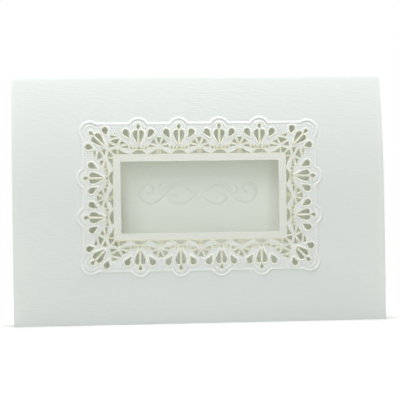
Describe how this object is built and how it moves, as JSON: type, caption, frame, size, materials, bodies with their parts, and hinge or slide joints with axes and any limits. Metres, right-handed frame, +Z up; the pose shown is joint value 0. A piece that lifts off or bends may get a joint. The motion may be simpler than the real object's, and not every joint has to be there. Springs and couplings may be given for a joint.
{
  "type": "wedding invitation card",
  "caption": "Landscape folded invitation card that stands as a tent, with an embossed cut-out lace border round a rectangular window in its front panel.",
  "frame": {"origin": "on the table under the middle of the card, halfway between its two standing edges", "axes": "+X to the right along the fold seen from the front, +Y from the front panel to the back panel, +Z up"},
  "size_m": [0.18, 0.0166, 0.12],
  "materials": {
    "card_stock": "matte felt-marked ivory white card stock"
  },
  "bodies": {
    "root": {"folded_card": "card_stock"}
  },
  "joints": []
}
